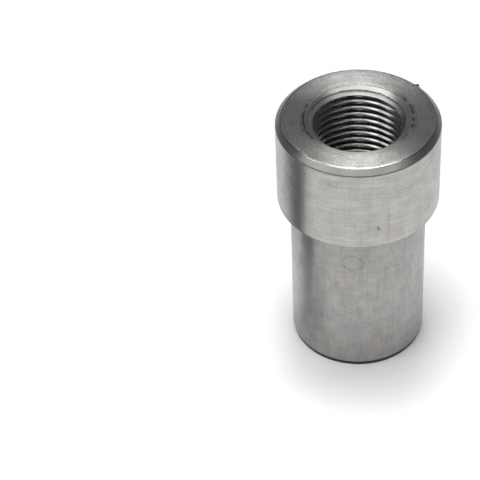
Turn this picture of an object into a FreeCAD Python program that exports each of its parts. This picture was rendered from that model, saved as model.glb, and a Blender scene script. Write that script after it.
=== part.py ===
"""Weld bung: a threaded steel plug for the end of a 1-1/4 in round tube, in millimetres.

One piece, turned from one steel bar. It stands on the end that goes into the tube, with its axis on Z:
the narrow shank is below, the wide collar is above, and the threaded bore opens through the collar's top.
"""

import FreeCAD, Part
import math
import os

# Collar: the wide head, 1-1/4 in across like the tube outside, and 3/4 in high
collar_diameter = 31.75
collar_height = 19.05
rim_chamfer = 1.1

# Shank: the narrow part that slides into the tube, 1.05 in across and 1-3/8 in long
shank_diameter = 26.67
shank_length = 34.925
lead_in_height = 1.0
lead_in_depth = 0.2

# Bore: drilled 11/16 in right through for a 3/4-16 UNF thread, and countersunk at both ends
bore_diameter = 17.4625
mouth_diameter = 20.0
foot_mouth_diameter = 19.6
countersink_angle = 90.0

# Edges: broken by the lathe tool, and its nose radius in the corner under the collar
rim_edge_radius = 0.25
shoulder_edge_radius = 0.2
mouth_edge_radius = 0.12
tool_nose_radius = 0.4

# Heights and radii that follow from the sizes above
overall_height = shank_length + collar_height
collar_radius = collar_diameter / 2
shank_radius = shank_diameter / 2
bore_radius = bore_diameter / 2
mouth_radius = mouth_diameter / 2
foot_mouth_radius = foot_mouth_diameter / 2

origin = FreeCAD.Vector(0, 0, 0)
up = FreeCAD.Vector(0, 0, 1)
match_tolerance = 1e-5


def turned_blank():
    """The bar turned to its outside shape, before it is drilled: a half section revolved about the axis."""
    corners = [
        (0, 0),
        (shank_radius - lead_in_depth, 0),
        (shank_radius, lead_in_height),
        (shank_radius, shank_length),
        (collar_radius, shank_length),
        (collar_radius, overall_height - rim_chamfer),
        (collar_radius - rim_chamfer, overall_height),
        (0, overall_height),
    ]
    points = [FreeCAD.Vector(radius, 0, height) for radius, height in corners]
    half_section = Part.Face(Part.makePolygon(points + points[:1]))
    return half_section.revolve(origin, up, 360)


def countersink(radius, face_height, inward):
    """Cone that opens the bore to this radius on the end face at this height."""
    depth = (radius - bore_radius) / math.tan(math.radians(countersink_angle / 2))
    return Part.makeCone(radius, bore_radius, depth, up * face_height, inward)


def bore():
    """What the drill and the countersink take away: a through hole with a cone at each end."""
    drilled = Part.makeCylinder(bore_radius, overall_height, origin, up)
    mouth = countersink(mouth_radius, overall_height, -up)
    foot_mouth = countersink(foot_mouth_radius, 0, up)
    return drilled.fuse([mouth, foot_mouth])


def ring_edges(solid, radius, height):
    """The round edges of the solid that have this radius and lie at this height."""
    rings = [edge for edge in solid.Edges if isinstance(edge.Curve, Part.Circle)]
    return [
        ring
        for ring in rings
        if math.isclose(ring.Curve.Radius, radius, abs_tol=match_tolerance)
        and math.isclose(ring.Curve.Center.z, height, abs_tol=match_tolerance)
    ]


def with_rounded_edges(solid):
    """The solid with its outer edges and mouth broken, and a fillet in the corner under the collar."""
    roundings = [
        (rim_edge_radius, collar_radius - rim_chamfer, overall_height),
        (rim_edge_radius, collar_radius, overall_height - rim_chamfer),
        (shoulder_edge_radius, collar_radius, shank_length),
        (tool_nose_radius, shank_radius, shank_length),
        (mouth_edge_radius, mouth_radius, overall_height),
    ]
    for fillet_radius, ring_radius, ring_height in roundings:
        solid = solid.makeFillet(fillet_radius, ring_edges(solid, ring_radius, ring_height))
    return solid


def bung_body():
    """The finished bung: blank, bore, edges."""
    return with_rounded_edges(turned_blank().cut(bore()))


os.makedirs("parts", exist_ok=True)
body = bung_body()
body.exportStep("parts/bung_body.step")
print("bung_body:", len(body.Solids), "solid,", round(body.Volume), "mm3, valid:", body.isValid())
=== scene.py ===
"""Weld bung: a plug turned from one steel bar, threaded right through, standing upright on a pale table."""

import bpy
import bmesh
import math
from mathutils import Matrix, Vector, noise


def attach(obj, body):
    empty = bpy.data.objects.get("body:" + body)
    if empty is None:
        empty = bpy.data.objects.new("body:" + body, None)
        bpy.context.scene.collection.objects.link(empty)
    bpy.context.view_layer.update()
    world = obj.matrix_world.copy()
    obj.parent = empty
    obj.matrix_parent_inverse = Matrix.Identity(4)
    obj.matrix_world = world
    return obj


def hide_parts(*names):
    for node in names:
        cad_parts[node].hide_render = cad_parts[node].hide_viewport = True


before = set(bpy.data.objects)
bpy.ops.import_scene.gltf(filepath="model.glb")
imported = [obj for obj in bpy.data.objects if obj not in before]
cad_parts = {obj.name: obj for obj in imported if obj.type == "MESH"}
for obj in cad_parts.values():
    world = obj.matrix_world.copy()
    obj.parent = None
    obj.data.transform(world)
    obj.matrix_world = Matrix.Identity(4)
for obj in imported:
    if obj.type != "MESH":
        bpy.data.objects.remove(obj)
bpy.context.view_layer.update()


# Camera: a long lens above the table, looking down into the mouth of the bore and a few degrees off level.
# Its lens, place and tilt put the rims, the shoulder and the foot where the photograph has them.
# Here and below, sizes are written in millimetres and angles in degrees.

MM = 0.001
SENSOR_WIDTH = 36.0
LENS = 154.03
CAMERA_PLACE = Vector((-23.599, -300.835, 303.215)) * MM
CAMERA_TILT_DOWN = 42.878
CAMERA_ROLL = -2.893

camera_data = bpy.data.cameras.new("camera")
camera_data.sensor_width = SENSOR_WIDTH
camera_data.lens = LENS
camera = bpy.data.objects.new("camera", camera_data)
camera.matrix_world = (
    Matrix.Translation(CAMERA_PLACE)
    @ Matrix.Rotation(math.radians(90 - CAMERA_TILT_DOWN), 4, "X")
    @ Matrix.Rotation(math.radians(CAMERA_ROLL), 4, "Z")
)
bpy.context.scene.collection.objects.link(camera)
bpy.context.scene.camera = camera
bpy.context.scene.view_settings.view_transform = "Standard"


# Bung: a plug of bare mild steel, welded into the end of a tube to take a screw. It is turned from round bar
# to a wide collar and a narrow shank, drilled through, countersunk at both ends and tapped. The mesh is one
# closed skin: rings for what the lathe cut, and a helical grid for the thread, which meet at both mouths.

COLUMNS = 240
SIDE_STEP = 1.2
ARC_STEPS = 3

# The turned outline, as radii from the axis and heights above the table
HEIGHT = 53.975
SHOULDER_HEIGHT = 34.925
COLLAR_RADIUS = 15.875
SHANK_RADIUS = 13.335
MOUTH_RADIUS = 10.0
FOOT_MOUTH_RADIUS = 9.8
RIM_CHAMFER = 1.1
LEAD_IN_HEIGHT = 1.0
LEAD_IN_DEPTH = 0.2

# Its edges are broken by tool and file, and the corner under the collar has the round of the tool's nose.
# Each rounding lies within EDGE_REACH of the height of its corner, and the collar's lie outside EDGES_FROM.
RIM_ROUND = 0.4
MOUTH_ROUND = 0.2
SHOULDER_ROUND = 0.2
FOOT_ROUND = 0.08
TOOL_NOSE = 0.4
EDGE_REACH = 0.22
EDGES_FROM = SHANK_RADIUS + 1
LEVEL_WITHIN = 1e-6


def rounded(corner, before, after, radius):
    """The points of a rounded corner of the outline, from the side before it to the side after it."""
    corner, before, after = Vector(corner), Vector(before), Vector(after)
    back, on = (before - corner).normalized(), (after - corner).normalized()
    half = back.angle(on) / 2
    run = radius / math.tan(half)
    centre = corner + (back + on).normalized() * radius / math.sin(half)
    start, end = corner + back * run - centre, corner + on * run - centre
    return [tuple(centre + start.slerp(end, step / ARC_STEPS) * radius) for step in range(ARC_STEPS + 1)]


def turned_outline():
    """The outline from the mouth over the end face, down the outside and in to the foot's own countersink.

    Each corner has its rounding, or None where it is sharp. The first one only gives the countersink's slope.
    """
    corners = [
        ((MOUTH_RADIUS - 1, HEIGHT - 1), None),
        ((MOUTH_RADIUS, HEIGHT), MOUTH_ROUND),
        ((COLLAR_RADIUS - RIM_CHAMFER, HEIGHT), RIM_ROUND),
        ((COLLAR_RADIUS, HEIGHT - RIM_CHAMFER), RIM_ROUND),
        ((COLLAR_RADIUS, SHOULDER_HEIGHT), SHOULDER_ROUND),
        ((SHANK_RADIUS, SHOULDER_HEIGHT), TOOL_NOSE),
        ((SHANK_RADIUS, LEAD_IN_HEIGHT), None),
        ((SHANK_RADIUS - LEAD_IN_DEPTH, 0), FOOT_ROUND),
        ((FOOT_MOUTH_RADIUS, 0), None),
    ]
    outline = []
    for before, (corner, radius), after in zip(corners, corners[1:], corners[2:]):
        outline += rounded(corner, before[0], after[0], radius) if radius else [corner]
    return outline + [corners[-1][0]]


def with_steps(outline):
    """The outline with points added on its long straight runs, so that its faces stay near square."""
    points = [outline[0]]
    for start, end in zip(outline, outline[1:]):
        start, end = Vector(start), Vector(end)
        parts = max(1, math.ceil((end - start).length / SIDE_STEP))
        points += [tuple(start.lerp(end, part / parts)) for part in range(1, parts + 1)]
    return points


# Finishes, in the order of the materials below
TURNED, RUBBED, FACED, CHAMFERED, SHADED_LEAD_IN, TAPPED, BURNISHED, COUNTERSUNK, TORN, SHADED_EDGE = range(10)


def outside_finish(before, after):
    """The finish of the ring of faces between two points of the outline."""
    lower, upper = sorted((before[1], after[1]))
    if upper - lower < LEVEL_WITHIN:
        return FACED
    if before[0] > EDGES_FROM:
        if lower > HEIGHT - EDGE_REACH:
            return BURNISHED
        # The lower edges of the rim and the shoulder take the finish with painted shade
        for corner_height in (HEIGHT - RIM_CHAMFER, SHOULDER_HEIGHT):
            if lower > corner_height - EDGE_REACH and upper < corner_height + EDGE_REACH:
                return SHADED_EDGE
    if upper > HEIGHT - RIM_CHAMFER + EDGE_REACH:
        return CHAMFERED
    # The lead-in at the foot takes the finish with painted shade
    if upper <= LEAD_IN_HEIGHT:
        return SHADED_LEAD_IN
    return TURNED if before[0] > SHANK_RADIUS + TOOL_NOSE else RUBBED


# The chip is a sliver that the tool pushed up at the rim: its height in mm at three angles round the axis.
CHIP = {37.5: 0.16, 39.0: 0.36, 40.5: 0.14}
CHIP_LEAN = 0.6


def degrees_at(column):
    """The angle round the axis at which a column of the mesh stands."""
    return 360 * column / COLUMNS


def on_circle(radius, height, turns):
    """The place at this radius and height, after this share of a turn round the axis."""
    angle = 2 * math.pi * turns
    return Vector((radius * math.cos(angle), radius * math.sin(angle), height)) * MM


def add_outside(mesh, rings):
    """Adds the faces that the lathe cut, ring by ring from mouth to foot, with the chip on the rim."""
    grid = []
    for radius, height in rings:
        on_rim = abs(height - HEIGHT + RIM_CHAMFER) < EDGE_REACH
        lifts = [CHIP.get(degrees_at(column), 0) if on_rim else 0 for column in range(COLUMNS)]
        grid.append([
            mesh.verts.new(on_circle(radius + lift * CHIP_LEAN, height + lift, column / COLUMNS))
            for column, lift in enumerate(lifts)
        ])
    for upper, lower, before, after in zip(grid, grid[1:], rings, rings[1:]):
        finish = outside_finish(before, after)
        for column in range(COLUMNS):
            following = (column + 1) % COLUMNS
            face = mesh.faces.new((upper[column], lower[column], lower[following], upper[following]))
            chipped = finish == CHAMFERED and degrees_at(column) in CHIP
            face.material_index = TORN if chipped else finish


# The thread has 16 turns to the inch and 60 degree flanks. The drill leaves its crests flat, and the tap
# rounds them. Each crest has CREST_SIDE points on either side, and SPARE_TURNS run on past each mouth.
# At the back of the mouth, the last crest lies CREST_DEPTH_AT_BACK below the end face.
PITCH = 25.4 / 16
MINOR_RADIUS = 17.4625 / 2
MAJOR_RADIUS = 19.05 / 2
FLANK_ANGLE = 30.0
CREST_ROUND = 0.09
ROOT_FLAT = PITCH / 8
CREST_SIDE = 3
CREST_DEPTH_AT_BACK = 1.79
SPARE_TURNS = 2
CONE_WITHIN = 1e-4


def thread_turn():
    """One pitch of the tapped outline, from below a crest to the root above, as height and radius."""
    half_angle = math.radians(FLANK_ANGLE)
    rise = (MAJOR_RADIUS - MINOR_RADIUS) * math.tan(half_angle)
    root_start = PITCH / 2 - ROOT_FLAT / 2
    crest_end = root_start - rise
    run = CREST_ROUND * math.tan(half_angle)
    rounding_start = crest_end - run
    rounding_depth = CREST_ROUND * (1 - math.cos(half_angle))
    upper = [
        (rounding_start, MINOR_RADIUS),
        (rounding_start + CREST_ROUND * math.sin(half_angle), MINOR_RADIUS + rounding_depth),
        (crest_end + run * math.sin(half_angle), MINOR_RADIUS + run * math.cos(half_angle)),
    ]
    lower = [(-height, radius) for height, radius in reversed(upper)]
    return lower + upper + [(root_start, MAJOR_RADIUS), (root_start + ROOT_FLAT, MAJOR_RADIUS)]


def countersink(height):
    """The radius that the 90 degree countersinks at the mouth and the foot leave at this height."""
    return max(MOUTH_RADIUS - (HEIGHT - height), FOOT_MOUTH_RADIUS - height)


# Where the first groove breaks out into the countersink, the tap tore its lip and left a ragged burr on it.
# The lip wanders by TORN_REACH in tears TORN_STEP wide, and the burr is about BURR_WIDTH wide up to BURR_TO.
# The burr's dark band is partly the torn steel and partly painted shade, the dark gap under its overhang.
# From OPENED_FROM to OPENED_TO, the countersink opened the flank below the lip, OPENED_ROWS of faces.
TORN_STEP = 0.35
TORN_REACH = 0.11
TORN_LEVEL = 0.3
LEAST_GROOVE = 0.2
BURR_WIDTH = 0.1
BURR_SWING = 0.8
BURR_LEAST = 0.03
BURR_SHIFT = 0.5
BURR_TO = 156
OPENED_FROM = 15
OPENED_TO = 240
OPENED_ROWS = 3
NO_LIP = -1


def torn(angle):
    """How far the tap pulled the lip of the first groove back at this angle, along the countersink."""
    place = Vector((math.cos(angle), math.sin(angle), TORN_LEVEL)) * MAJOR_RADIUS / TORN_STEP
    return TORN_REACH * noise.noise(place)


def thread_column(turn, angle, lowest_crest, rows, mouth_ring, foot_ring):
    """The bore's outline at one angle: the thread, opened by the countersinks and held between the two rings.

    With it comes the row of the torn lip, or NO_LIP where a crest and no groove breaks out.
    """
    points = []
    for row in range(rows):
        offset, radius = turn[row % len(turn)]
        points.append((radius, lowest_crest + (row // len(turn)) * PITCH + offset))

    # A point moves to each place where the thread meets a countersink
    gaps = [radius - countersink(height) for radius, height in points]
    crossings = {}
    for row, (gap, next_gap) in enumerate(zip(gaps, gaps[1:])):
        if (gap > 0) != (next_gap > 0):
            share = gap / (gap - next_gap)
            meeting = [start + (end - start) * share for start, end in zip(points[row], points[row + 1])]
            crossings[row + round(share)] = meeting

    # The lip is the highest of them, torn where a groove at least LEAST_GROOVE deep breaks out there
    lip_row = max(crossings)
    groove_open = crossings[lip_row][0] > MINOR_RADIUS + LEAST_GROOVE
    if groove_open:
        crossings[lip_row] = [part + torn(angle) for part in crossings[lip_row]]
    burr = max(BURR_LEAST, BURR_WIDTH + BURR_SWING * torn(angle + BURR_SHIFT))
    burr_top = crossings[lip_row][1] + burr

    column = []
    for row, (radius, height) in enumerate(points):
        if row in crossings:
            radius, height = crossings[row]
        if groove_open and row == lip_row + 1:
            height = burr_top
        elif groove_open and row > lip_row:
            height = max(height, burr_top)
        radius = max(radius, countersink(height))
        if height >= mouth_ring[1]:
            radius, height = mouth_ring
        if height <= foot_ring[1]:
            radius, height = foot_ring
        column.append((radius, height))
    return column, lip_row if groove_open else NO_LIP


def add_bore(mesh, mouth_ring, foot_ring):
    """Adds the threaded bore between the two rings, each column a little higher up the helix."""
    turn = thread_turn()
    turns = math.ceil(HEIGHT / PITCH) + 2 * SPARE_TURNS
    rows = turns * len(turn)
    lowest_crest = HEIGHT - CREST_DEPTH_AT_BACK - PITCH / 4 - (turns - SPARE_TURNS) * PITCH
    columns, lips = [], []
    for column in range(COLUMNS):
        angle = 2 * math.pi * column / COLUMNS
        crest = lowest_crest + PITCH * column / COLUMNS
        points, lip = thread_column(turn, angle, crest, rows, mouth_ring, foot_ring)
        columns.append(points)
        lips.append(lip)

    # The opened flank starts at the round of the crest below the lip
    flanks = [(lip - CREST_SIDE) // len(turn) * len(turn) + CREST_SIDE + 1 for lip in lips]
    on_cone = [
        [abs(radius - countersink(height)) < CONE_WITHIN for radius, height in points] for points in columns
    ]
    bore = [
        [mesh.verts.new(on_circle(radius, height, column / COLUMNS)) for radius, height in points]
        for column, points in enumerate(columns)
    ]
    for column in range(COLUMNS):
        # The last column meets the first one a whole turn of the helix further up
        shift = len(turn) if column == COLUMNS - 1 else 0
        neighbour = (column + 1) % COLUMNS
        following = bore[neighbour][shift:]
        opened = OPENED_FROM < degrees_at(column) < OPENED_TO
        opened_rows = range(flanks[column], flanks[column] + OPENED_ROWS) if opened else ()
        this_side = on_cone[column]
        next_side = on_cone[neighbour][shift:]
        for row in range(len(following) - 1):
            conical = all(this_side[row : row + 2] + next_side[row : row + 2])
            finish = COUNTERSUNK if conical or row in opened_rows else TAPPED
            # The row at the lip takes the torn finish, partly painted shade under the burr
            if row == lips[column] == lips[neighbour] - shift and degrees_at(column) < BURR_TO:
                finish = TORN
            corners = (bore[column][row], bore[column][row + 1], following[row + 1], following[row])
            mesh.faces.new(corners).material_index = finish


# Points within WELD_WITHIN become one, edges under SLIVER_WITHIN go, and those over SHARP_FROM stay sharp.
WELD_WITHIN = 0.002
SLIVER_WITHIN = 0.001
SHARP_FROM = 34


def object_from(mesh, name):
    """Puts a finished bmesh into the scene as an object with this name."""
    data = bpy.data.meshes.new(name)
    mesh.to_mesh(data)
    mesh.free()
    made = bpy.data.objects.new(name, data)
    bpy.context.scene.collection.objects.link(made)
    return made


bung_mesh = bmesh.new()
rings = with_steps(turned_outline())
add_outside(bung_mesh, rings)
add_bore(bung_mesh, mouth_ring=rings[0], foot_ring=rings[-1])
bmesh.ops.remove_doubles(bung_mesh, verts=bung_mesh.verts, dist=WELD_WITHIN * MM)
bmesh.ops.dissolve_degenerate(bung_mesh, edges=bung_mesh.edges, dist=SLIVER_WITHIN * MM)
bmesh.ops.recalc_face_normals(bung_mesh, faces=bung_mesh.faces)
bung = object_from(bung_mesh, "weld_bung")
bung.data.shade_smooth()
bung.data.set_sharp_from_angle(angle=math.radians(SHARP_FROM))
weighting = bung.modifiers.new("flats_stay_flat", "WEIGHTED_NORMAL")
weighting.keep_sharp = True


def linear(colour):
    """A hex sRGB colour as linear red, green, blue and alpha."""
    parts = [int(colour[place : place + 2], 16) / 255 for place in (1, 3, 5)]
    return [part / 12.92 if part <= 0.04045 else ((part + 0.055) / 1.055) ** 2.4 for part in parts] + [1.0]


def add(tree, kind, inputs=(), **settings):
    """Adds a node with its settings; each input is a value, or the output that it is linked to."""
    made = tree.nodes.new(kind)
    for name, value in settings.items():
        setattr(made, name, value)
    for name, value in dict(inputs).items():
        if isinstance(value, bpy.types.NodeSocket):
            tree.links.new(value, made.inputs[name])
        else:
            made.inputs[name].default_value = value
    return made


def new_material(name):
    """An empty node material and its tree."""
    material = bpy.data.materials.new(name)
    material.use_nodes = True
    material.node_tree.nodes.clear()
    return material, material.node_tree


def layer(tree, place, widths, detail):
    """Noise whose features have these widths in mm along x, y and z."""
    scales = [1 / (width * MM) for width in widths]
    stretched = add(tree, "ShaderNodeVectorMath", {0: place, 1: scales}, operation="MULTIPLY").outputs[0]
    cloud = add(tree, "ShaderNodeTexNoise", {"Vector": stretched, "Scale": 1.0, "Detail": detail})
    return cloud.outputs["Fac"]


# A mark fades in from SPOT_EDGE to SPOT_CORE of its half size. A ring's line has RING_WIDTH on either side.
SPOT_EDGE = 1.2
SPOT_CORE = 0.5
RING_WIDTH = 0.3


def spot(tree, place, radius, angle, height, wide, tall, hollow=False):
    """A soft-edged mask of a mark on the bung, full or only its ring; wide and tall are half sizes."""
    centre = on_circle(radius, height, angle / 360)
    apart = add(tree, "ShaderNodeVectorMath", {0: place, 1: centre}, operation="SUBTRACT").outputs[0]
    sizes = (1 / (wide * MM), 1 / (wide * MM), 1 / (tall * MM))
    scaled = add(tree, "ShaderNodeVectorMath", {0: apart, 1: sizes}, operation="MULTIPLY").outputs[0]
    distance = add(tree, "ShaderNodeVectorMath", {0: scaled}, operation="LENGTH").outputs["Value"]
    if hollow:
        aside = add(tree, "ShaderNodeMath", {0: distance, 1: 1.0}, operation="SUBTRACT").outputs[0]
        aside = add(tree, "ShaderNodeMath", {0: aside}, operation="ABSOLUTE").outputs[0]
        return add(tree, "ShaderNodeMapRange", {0: aside, 1: RING_WIDTH, 2: 0.0}).outputs[0]
    return add(tree, "ShaderNodeMapRange", {0: distance, 1: SPOT_EDGE, 2: SPOT_CORE}).outputs[0]


# The outline of a stain wanders by up to half of RAGGED_REACH, in steps of RAGGED_STEP.
RAGGED_STEP = 0.35
RAGGED_REACH = 0.5


def stained(tree, place, colour, stains):
    """The colour with its stains: each has a colour, a strength and the marks where it lies."""
    ragged = add(
        tree, "ShaderNodeTexNoise", {"Vector": place, "Scale": 1 / (RAGGED_STEP * MM), "Detail": 1.0}
    ).outputs["Color"]
    centred = add(
        tree, "ShaderNodeVectorMath", {0: place, 1: [-RAGGED_REACH / 2 * MM] * 3}, operation="ADD"
    ).outputs[0]
    wavy = add(
        tree,
        "ShaderNodeVectorMath",
        {0: ragged, 1: [RAGGED_REACH * MM] * 3, 2: centred},
        operation="MULTIPLY_ADD",
    ).outputs[0]
    for stain_colour, strength, marks in stains:
        mask, *others = [spot(tree, wavy, *mark) for mark in marks]
        for other in others:
            mask = add(tree, "ShaderNodeMath", {0: mask, 1: other}, operation="MAXIMUM").outputs[0]
        mask = add(tree, "ShaderNodeMath", {0: mask, 1: strength}, operation="MULTIPLY").outputs[0]
        colour = add(
            tree, "ShaderNodeMix", {0: mask, 6: colour, 7: linear(stain_colour)}, data_type="RGBA"
        ).outputs[2]
    return colour


# Scored arcs lie to the left and right of the mouth, whole up to ARCS_WHOLE from its middle line and gone at
# ARCS_GONE. They are broken into bits of BREAK_STEP, and fade out from ARC_CORE of their half width.
ARCS_WHOLE = 5
ARCS_GONE = 8
BREAK_STEP = 1.6
BREAK_EDGE = 0.12
ARC_CORE = 0.3


def scored(tree, place, radius, colour, arcs):
    """The colour with arcs round the axis, each with its colour, strength, radius, half width and gaps."""
    across = add(tree, "ShaderNodeSeparateXYZ", {0: place}).outputs[1]
    across = add(tree, "ShaderNodeMath", {0: across}, operation="ABSOLUTE").outputs[0]
    beside = add(tree, "ShaderNodeMapRange", {0: across, 1: ARCS_GONE * MM, 2: ARCS_WHOLE * MM}).outputs[0]
    for arc_colour, strength, arc_radius, half_width, gaps in arcs:
        broken = layer(tree, place, [BREAK_STEP] * 3, 4.0)
        broken = add(
            tree, "ShaderNodeMapRange", {0: broken, 1: gaps, 2: gaps + BREAK_EDGE, 4: strength}
        ).outputs[0]
        aside = add(tree, "ShaderNodeMath", {0: radius, 1: arc_radius * MM}, operation="SUBTRACT").outputs[0]
        aside = add(tree, "ShaderNodeMath", {0: aside}, operation="ABSOLUTE").outputs[0]
        core = half_width * ARC_CORE * MM
        mask = add(tree, "ShaderNodeMapRange", {0: aside, 1: half_width * MM, 2: core}).outputs[0]
        mask = add(tree, "ShaderNodeMath", {0: mask, 1: broken}, operation="MULTIPLY").outputs[0]
        mask = add(tree, "ShaderNodeMath", {0: mask, 1: beside}, operation="MULTIPLY").outputs[0]
        colour = add(
            tree, "ShaderNodeMix", {0: mask, 6: colour, 7: linear(arc_colour)}, data_type="RGBA"
        ).outputs[2]
    return colour


# The tool feeds about 0.1 mm a turn, finer than a pixel of 0.2 mm, so its lines are drawn FEED_LINE apart.
FEED_LINE = 0.3
LINE_LENGTH = 6
ROUGH_SWING = 0.2
QUARTER_TURN = 0.25


def steel(
    name,
    light,
    dark,
    roughness,
    anisotropy,
    layers,
    line_share,
    line_step=FEED_LINE,
    bump=0.0,
    stains=(),
    arcs=(),
):
    """Bare mild steel cut in the lathe. Its lines run round the axis and draw highlights out across them.

    Each layer of noise has the widths of its features, its detail and its share of the tone, which is 0.5 on
    average. The last layer also lifts the surface, by bump in mm.
    """
    material, tree = new_material(name)
    place = add(tree, "ShaderNodeTexCoord").outputs["Object"]
    apart = add(tree, "ShaderNodeSeparateXYZ", {0: place}).outputs
    across = add(tree, "ShaderNodeCombineXYZ", {0: apart[0], 1: apart[1]}).outputs[0]
    radius = add(tree, "ShaderNodeVectorMath", {0: across}, operation="LENGTH").outputs["Value"]
    along = add(tree, "ShaderNodeMath", {0: radius, 1: apart[2]}, operation="ADD").outputs[0]
    round_place = add(tree, "ShaderNodeCombineXYZ", {0: apart[0], 1: apart[1], 2: along}).outputs[0]

    shares = [share for _, _, share in layers] + [line_share]
    lines = layer(tree, round_place, (LINE_LENGTH, LINE_LENGTH, line_step), 2.0)
    tone = add(
        tree, "ShaderNodeMath", {0: lines, 1: line_share, 2: 0.5 - sum(shares) / 2}, operation="MULTIPLY_ADD"
    ).outputs[0]
    for widths, detail, share in layers:
        grain = layer(tree, place, widths, detail)
        tone = add(tree, "ShaderNodeMath", {0: grain, 1: share, 2: tone}, operation="MULTIPLY_ADD").outputs[0]

    colour = add(
        tree, "ShaderNodeMix", {0: tone, 6: linear(dark), 7: linear(light)}, data_type="RGBA"
    ).outputs[2]
    if stains:
        colour = stained(tree, place, colour, stains)
    if arcs:
        colour = scored(tree, place, radius, colour, arcs)
    rough = add(
        tree,
        "ShaderNodeMapRange",
        {0: tone, 3: roughness * (1 + ROUGH_SWING), 4: roughness * (1 - ROUGH_SWING)},
    ).outputs[0]
    lifted = add(tree, "ShaderNodeBump", {"Height": grain, "Strength": 1.0, "Distance": bump * MM}).outputs[0]
    tangent = add(tree, "ShaderNodeTangent", direction_type="RADIAL", axis="Z").outputs[0]
    shader = add(
        tree,
        "ShaderNodeBsdfPrincipled",
        {
            "Base Color": colour,
            "Metallic": 1.0,
            "Roughness": rough,
            "Anisotropic": anisotropy,
            "Anisotropic Rotation": QUARTER_TURN,
            "Tangent": tangent,
            "Normal": lifted,
        },
    )
    add(tree, "ShaderNodeOutputMaterial", {0: shader.outputs[0]})
    return material


# The film of oil and handling lies in clouds some 2.5 mm wide and in upright wipes of 5 to 9 mm.
# The steel's own grain is under 0.1 mm, finer than a pixel, so it is drawn just over a pixel wide.
CLOUDS = ((2.5, 2.5, 2.5), 3.0, 0.8)
UPRIGHT_STREAKS = ((0.3, 0.3, 5.0), 2.0, 0.7)
FAINT_STREAKS = ((0.6, 0.6, 9.0), 2.0, 0.35)
SIDE_GRAIN = ((0.22, 0.22, 0.22), 2.0, 1.2)
FACE_GRAIN = ((0.27, 0.27, 0.27), 2.0, 2.0)

# Marks on the sides: radius, angle, height, half width and half height, and True where only the ring shows
COLLAR_PITS = [
    (COLLAR_RADIUS, -133.5, 50.55, 0.22, 0.22),
    (COLLAR_RADIUS, -28.6, 46.5, 0.30, 0.26),
    (COLLAR_RADIUS, -46.1, 45.0, 0.20, 0.20),
    (COLLAR_RADIUS, -49.5, 35.1, 0.20, 0.20),
    (COLLAR_RADIUS, -80.7, 39.7, 0.16, 0.55),
    (COLLAR_RADIUS, -79.6, 39.3, 0.35, 0.16),
]
COLLAR_PATCH = [(COLLAR_RADIUS, -65.9, 38.4, 1.8, 2.2)]
COLLAR_SEAM = [(COLLAR_RADIUS, -73.0, 39.5, 0.35, 6.5)]
SHANK_PITS = [
    (SHANK_RADIUS, -111.3, 22.9, 0.22, 0.30),
    (SHANK_RADIUS, -105.2, 27.5, 0.20, 0.20),
    (SHANK_RADIUS, -68.4, 26.0, 0.25, 0.22),
    (SHANK_RADIUS, -56.3, 24.0, 0.22, 0.22),
    (SHANK_RADIUS, -64.2, 6.0, 0.25, 0.22),
    (SHANK_RADIUS, -53.9, 4.6, 0.22, 0.22),
    (SHANK_RADIUS, -24.0, 3.2, 0.45, 0.30),
    (SHANK_RADIUS, -30.0, 2.0, 0.35, 0.25),
]
SHANK_PATCH = [(SHANK_RADIUS, -105.3, 23.8, 0.9, 1.3), (SHANK_RADIUS, -81.9, 5.5, 1.6, 0.9)]
SHANK_RING = [(SHANK_RADIUS, -99.0, 28.3, 2.1, 1.8, True)]
PIT_COLOUR = "#4C4A46"
SEAM_COLOUR = "#7C7A75"
PATCH_COLOUR = "#A8948C"

# Collar: mild steel, turned with a fine feed and oiled. Its highlights stand upright, crossed by faint level
# lines, and it has a few pits, one reddish stain and a long faint seam from the bar.
turned_steel = steel(
    "turned_mild_steel",
    light="#C9C8C5",
    dark="#A5A4A1",
    roughness=0.34,
    anisotropy=0.7,
    layers=[CLOUDS, FAINT_STREAKS, SIDE_GRAIN],
    line_share=1.2,
    bump=0.003,
    stains=[
        (PATCH_COLOUR, 0.3, COLLAR_PATCH),
        (SEAM_COLOUR, 0.22, COLLAR_SEAM),
        (PIT_COLOUR, 0.9, COLLAR_PITS),
    ],
)

# Shank: mild steel, turned, then rubbed lengthwise. It is greyer than the collar, with short upright streaks,
# and something round that stood against it left a faint ring.
rubbed_steel = steel(
    "rubbed_mild_steel",
    light="#B1B0AE",
    dark="#8E8D8B",
    roughness=0.34,
    anisotropy=0.7,
    layers=[CLOUDS, UPRIGHT_STREAKS, SIDE_GRAIN],
    line_share=0.5,
    bump=0.002,
    stains=[
        (PATCH_COLOUR, 0.25, SHANK_PATCH),
        (SEAM_COLOUR, 0.35, SHANK_RING),
        (PIT_COLOUR, 0.6, SHANK_PITS),
    ],
)

# End face: mild steel, faced across. The rings that the tool cut spread each highlight into a fan round the
# bore, over a speckled grain, and chatter scored it with dark broken arcs.
faced_steel = steel(
    "faced_mild_steel",
    light="#C6C5C3",
    dark="#7E7D7A",
    roughness=0.32,
    anisotropy=0.85,
    layers=[CLOUDS, FACE_GRAIN],
    line_share=0.8,
    bump=0.002,
    arcs=[
        (PIT_COLOUR, 0.85, 10.50, 0.38, 0.40),
        (PIT_COLOUR, 0.50, 11.00, 0.22, 0.46),
        (PIT_COLOUR, 0.25, 14.20, 0.25, 0.50),
    ],
)

# Chamfer and mouth edge: mild steel, cut with a form tool. They are an even mid grey, duller than the face.
chamfered_steel = steel(
    "chamfered_mild_steel",
    light="#A3A2A0",
    dark="#8D8C8B",
    roughness=0.40,
    anisotropy=0.6,
    layers=[CLOUDS, SIDE_GRAIN],
    line_share=0.8,
)

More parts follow.
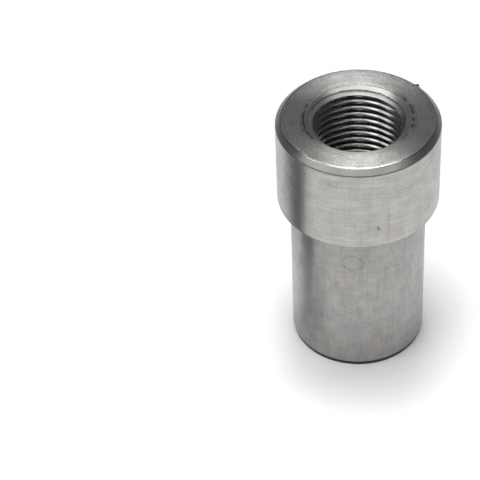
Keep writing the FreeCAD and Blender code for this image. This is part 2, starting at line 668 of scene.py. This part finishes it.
# Lead-in at the foot: mild steel, left rough by the saw. Its dark colour is painted shade, the table's
# contact shadow that the lead-in mirrors, and it shows as a dark band.
shaded_lead_in_steel = steel(
    "shaded_lead_in_mild_steel",
    light="#4A4845",
    dark="#33312F",
    roughness=0.45,
    anisotropy=0.3,
    layers=[SIDE_GRAIN],
    line_share=0.6,
)

# Thread: mild steel, cut and rubbed smooth by an oiled tap. It mirrors sharply, in bright and dark lines.
tapped_steel = steel(
    "tapped_mild_steel",
    light="#B4B3B1",
    dark="#A4A3A1",
    roughness=0.15,
    anisotropy=0.0,
    layers=[SIDE_GRAIN],
    line_share=0.5,
)

# Upper edge of the rim: mild steel, burnished where the tool left the cut. It draws one thin bright line.
burnished_steel = steel(
    "burnished_mild_steel",
    light="#D4D3D1",
    dark="#C6C5C3",
    roughness=0.18,
    anisotropy=0.3,
    layers=[SIDE_GRAIN],
    line_share=0.5,
)

# Countersinks and the flank below the lip: mild steel, cut with a countersink, which leaves wider lines.
# They are the palest metal, with a broad soft highlight at the back.
countersunk_steel = steel(
    "countersunk_mild_steel",
    light="#D6D5D3",
    dark="#C4C3C1",
    roughness=0.40,
    anisotropy=0.4,
    layers=[CLOUDS, SIDE_GRAIN],
    line_share=0.8,
    line_step=0.4,
)

# Burrs at the lip and on the chip: mild steel, torn, rough and dark, which gives no highlight. At the lip
# the dark is partly the torn steel and partly painted shade, the dark gap under the burr.
torn_and_shaded_steel = steel(
    "torn_and_shaded_mild_steel",
    light="#403E3A",
    dark="#282624",
    roughness=0.60,
    anisotropy=0.0,
    layers=[SIDE_GRAIN],
    line_share=0.5,
)

# Lower edges of the rim and the shoulder: mild steel, broken with a file. Their darker colour is painted
# shade, for the dark that these small roundings mirror, and they show as thin dull lines.
shaded_edge_steel = steel(
    "shaded_edge_mild_steel",
    light="#8C8A87",
    dark="#7A7875",
    roughness=0.45,
    anisotropy=0.3,
    layers=[SIDE_GRAIN],
    line_share=0.5,
)

for finish in (
    turned_steel,
    rubbed_steel,
    faced_steel,
    chamfered_steel,
    shaded_lead_in_steel,
    tapped_steel,
    burnished_steel,
    countersunk_steel,
    torn_and_shaded_steel,
    shaded_edge_steel,
):
    bung.data.materials.append(finish)

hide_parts("bung_body")
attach(bung, "root")


# Table: a matt white sheet under the bung, which takes its soft shadow, partly real and partly painted, and
# turns to plain white further out.
# The metal sees the same white as the camera does. It lies a hair below the foot and is clear from below.

TABLE_HALF = 3000
TABLE_DROP = 0.02
SHADOW_CENTRE = Vector((2.5, -5.0, 0))
SHADOW_CORE = 6
SHADOW_REACH = 32
WHITE_FROM = 56
OWN_WHITE = 0.55

table_mesh = bmesh.new()
bmesh.ops.create_grid(table_mesh, x_segments=1, y_segments=1, size=TABLE_HALF * MM)
table = object_from(table_mesh, "table")
table.location.z = -TABLE_DROP * MM

# The sheet is lit as any matt one is and takes the bung's real shadow. From SHADOW_CORE out to SHADOW_REACH
# it glows with painted light of up to OWN_WHITE, measured from SHADOW_CENTRE to the front right of the axis,
# so it paints a soft shadow round the foot that leans that way. From there to WHITE_FROM it turns to plain
# white.
matt_white_sheet, tree = new_material("matt_white_sheet")
place = add(tree, "ShaderNodeTexCoord").outputs["Object"]
distance = add(
    tree, "ShaderNodeVectorMath", {0: place, 1: SHADOW_CENTRE * MM}, operation="DISTANCE"
).outputs["Value"]
near_white = add(
    tree,
    "ShaderNodeMapRange",
    {0: distance, 1: SHADOW_CORE * MM, 2: SHADOW_REACH * MM, 3: 0.0, 4: OWN_WHITE},
    interpolation_type="SMOOTHSTEP",
).outputs[0]
far = add(
    tree,
    "ShaderNodeMapRange",
    {0: distance, 1: SHADOW_REACH * MM, 2: WHITE_FROM * MM},
    interpolation_type="SMOOTHSTEP",
).outputs[0]
ray = add(tree, "ShaderNodeLightPath").outputs
seen = ray["Is Camera Ray"]
for kind in ("Is Glossy Ray", "Is Transmission Ray"):
    seen = add(tree, "ShaderNodeMath", {0: seen, 1: ray[kind]}, operation="MAXIMUM").outputs[0]
share = add(tree, "ShaderNodeMath", {0: far, 1: seen}, operation="MULTIPLY").outputs[0]
glow = add(tree, "ShaderNodeMath", {0: seen, 1: near_white}, operation="MULTIPLY").outputs[0]
matt = add(tree, "ShaderNodeBsdfDiffuse", {"Color": linear("#F3F3F3")}).outputs[0]
pale = add(tree, "ShaderNodeEmission", {"Color": linear("#FFFFFF"), "Strength": glow}).outputs[0]
near = add(tree, "ShaderNodeAddShader", {0: matt, 1: pale}).outputs[0]
white = add(tree, "ShaderNodeEmission", {"Color": linear("#FFFFFF"), "Strength": 1.0}).outputs[0]
sheet = add(tree, "ShaderNodeMixShader", {0: share, 1: near, 2: white}).outputs[0]
from_below = add(tree, "ShaderNodeNewGeometry").outputs["Backfacing"]
clear = add(tree, "ShaderNodeBsdfTransparent").outputs[0]
one_sided = add(tree, "ShaderNodeMixShader", {0: from_below, 1: sheet, 2: clear}).outputs[0]
add(tree, "ShaderNodeOutputMaterial", {0: one_sided})
table.data.materials.append(matt_white_sheet)


# Lamps: flat studio panels above and around the table, in a dim white room. Steel shows what stands around
# it, so each panel is there for one part of the metal, as the line above it says.


def panel(name, place, aim, width, length, radiance):
    """A flat lamp of one radiance all over, at a place in mm, turned to face another."""
    light = bpy.data.lights.new(name, "AREA")
    light.shape = "RECTANGLE"
    light.size = width * MM
    light.size_y = length * MM
    light.energy = radiance * math.pi * light.size * light.size_y
    lamp = bpy.data.objects.new(name, light)
    lamp.location = Vector(place) * MM
    lamp.rotation_euler = (Vector(aim) - Vector(place)).to_track_quat("-Z", "Y").to_euler()
    bpy.context.scene.collection.objects.link(lamp)


# Bright lines on the thread, and the backs of the countersink and the end face
panel("softbox", place=(30, 300, 600), aim=(30, 300, 0), width=180, length=420, radiance=4.2)
# The bright line on the upper edge of the rim
panel("edge_bank", place=(130, 45, 600), aim=(130, 45, 0), width=260, length=90, radiance=4.2)
# The fronts of the collar and the shank
panel("front_bank", place=(-66, -473, 539), aim=(0, 0, 27), width=1140, length=330, radiance=1.8)
# Their pale left edge
panel("left_bank", place=(-435, -185, 396), aim=(0, 0, 27), width=330, length=300, radiance=1.8)
# The fan of light on the front of the end face: its far right, its right, its middle and its left
panel("top_bank", place=(150, -150, 600), aim=(150, -150, 0), width=120, length=120, radiance=0.5)
panel("top_fade", place=(35, -145, 600), aim=(35, -145, 0), width=110, length=130, radiance=2.0)
panel("top_core", place=(-150, -125, 600), aim=(-150, -125, 0), width=260, length=140, radiance=2.7)
panel("top_side", place=(-365, 20, 580), aim=(-365, 20, 0), width=170, length=250, radiance=1.5)
# The dim sides of the end face
panel("rear_bank", place=(0, 640, 600), aim=(0, 640, 0), width=1600, length=240, radiance=0.16)
# The right side of the collar and the shank
panel("right_bank", place=(362, -283, 413), aim=(0, 0, 27), width=250, length=300, radiance=1.2)

ROOM_LEVEL = 0.07
room = bpy.data.worlds.new("room")
room.use_nodes = True
room.node_tree.nodes.clear()
backdrop = add(room.node_tree, "ShaderNodeBackground", {"Color": linear("#FFFFFF"), "Strength": ROOM_LEVEL})
add(room.node_tree, "ShaderNodeOutputWorld", {0: backdrop.outputs[0]})
bpy.context.scene.world = room


# Dark post: a round post in grey felt that stands on the table at the left, as studio gear. Only the metal's
# mirror image of it shows, as the dark upright band on the left of the collar and the shank.

POST_PLACE = (-46.4, -4.5)
POST_OUTLINE = [(10.9, 0), (10.9, 26), (13.5, 26), (13.5, 41)]
POST_SIDES = 48
FELT_COLOUR = "#8A8A8A"


def show_only_mirrored(piece):
    """Hides a piece of studio gear from everything but reflections."""
    piece.visible_camera = False
    piece.visible_diffuse = False
    piece.visible_shadow = False


post_mesh = bmesh.new()
post_rings = [
    [post_mesh.verts.new(on_circle(radius, height, side / POST_SIDES)) for side in range(POST_SIDES)]
    for radius, height in POST_OUTLINE
]
for lower, upper in zip(post_rings, post_rings[1:]):
    for side in range(POST_SIDES):
        following = (side + 1) % POST_SIDES
        post_mesh.faces.new((lower[side], lower[following], upper[following], upper[side]))
post_mesh.faces.new(post_rings[-1])
post = object_from(post_mesh, "dark_post")
post.location = Vector((*POST_PLACE, 0)) * MM
show_only_mirrored(post)

dark_felt, tree = new_material("dark_felt")
felt = add(tree, "ShaderNodeBsdfDiffuse", {"Color": linear(FELT_COLOUR)}).outputs[0]
add(tree, "ShaderNodeOutputMaterial", {0: felt})
post.data.materials.append(dark_felt)


# Dark card: a painted shadow. It is a round card of the same felt that lies at the post's foot and thins out
# towards its edge. Only its mirror image shows, as the shadow round the post's foot, where it carries the
# dark band down to the foot of the shank.

CARD_PLACE = (-25, -10)
CARD_LIFT = 0.3
CARD_RADIUS = 16
CARD_CORE = 0.3
CARD_SHARE = 0.6

shadow_card_mesh = bmesh.new()
bmesh.ops.create_circle(shadow_card_mesh, cap_ends=True, segments=POST_SIDES, radius=CARD_RADIUS * MM)
card = object_from(shadow_card_mesh, "painted_shadow_card")
card.location = Vector((*CARD_PLACE, CARD_LIFT)) * MM
show_only_mirrored(card)

# Painted shadow: felt that fades out towards the card's edge
painted_shadow_felt, tree = new_material("painted_shadow_felt")
middle = add(tree, "ShaderNodeTexCoord").outputs["Object"]
apart = add(tree, "ShaderNodeVectorMath", {0: middle}, operation="LENGTH").outputs["Value"]
cover = add(
    tree,
    "ShaderNodeMapRange",
    {0: apart, 1: CARD_RADIUS * CARD_CORE * MM, 2: CARD_RADIUS * MM, 3: CARD_SHARE, 4: 0.0},
    interpolation_type="SMOOTHSTEP",
).outputs[0]
felt = add(tree, "ShaderNodeBsdfDiffuse", {"Color": linear(FELT_COLOUR)}).outputs[0]
bare = add(tree, "ShaderNodeBsdfTransparent").outputs[0]
faded = add(tree, "ShaderNodeMixShader", {0: cover, 1: bare, 2: felt}).outputs[0]
add(tree, "ShaderNodeOutputMaterial", {0: faded})
card.data.materials.append(painted_shadow_felt)
